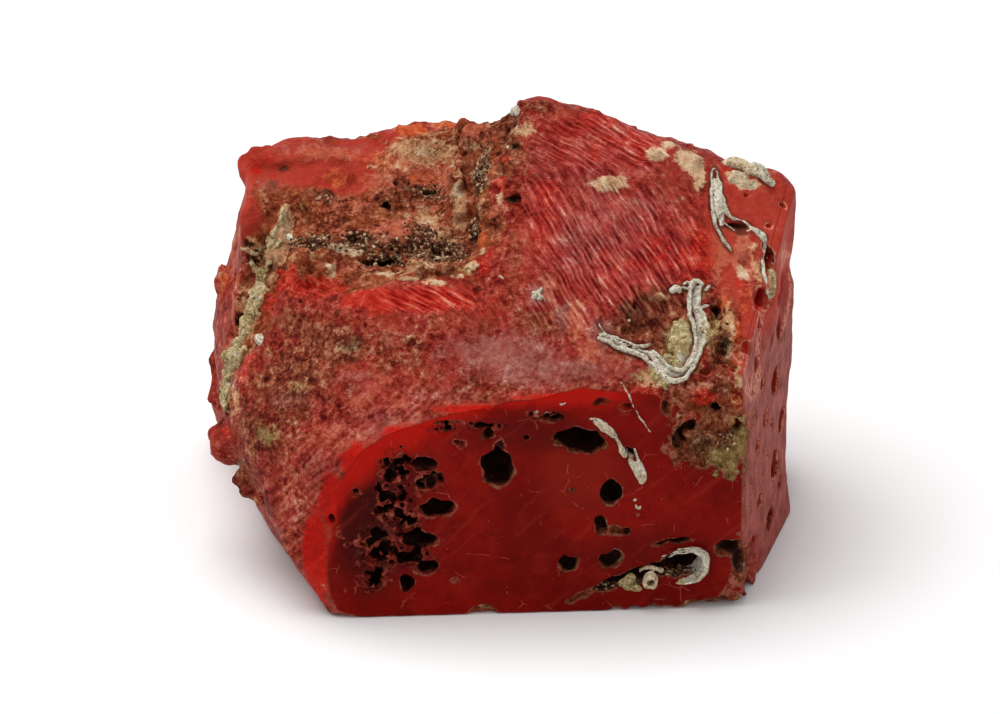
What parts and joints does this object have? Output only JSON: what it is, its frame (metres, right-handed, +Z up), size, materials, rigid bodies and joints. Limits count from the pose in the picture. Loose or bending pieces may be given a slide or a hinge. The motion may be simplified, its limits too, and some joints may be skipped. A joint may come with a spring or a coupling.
{
  "type": "red coral branch",
  "caption": "Raw block from the foot of a thick red coral branch, sawn flat at the base, front and right, with pits, worm tubes and a lime crust.",
  "frame": {"origin": "on the flat sawn base, under the middle of the block", "axes": "+Z up, +X to the right along the sawn front, -Y the way the sawn front faces"},
  "size_m": [0.0339, 0.025, 0.0262],
  "materials": {
    "coral": "waxy and satin where sawn, matt and fibrous where grown, crumbly in the terrace",
    "worm_tube": "chalky matt",
    "lime_crust": "matt, grainy"
  },
  "bodies": {
    "root": {"coral": "coral", "worm_tube_hook": "worm_tube", "worm_tube_channel": "worm_tube", "worm_tube_crest": "worm_tube", "worm_tube_shard_upper": "worm_tube", "worm_tube_shard_lower": "worm_tube", "worm_tube_cavity": "worm_tube", "worm_tube_ring": "worm_tube", "lime_crust": "lime_crust"}
  },
  "joints": []
}
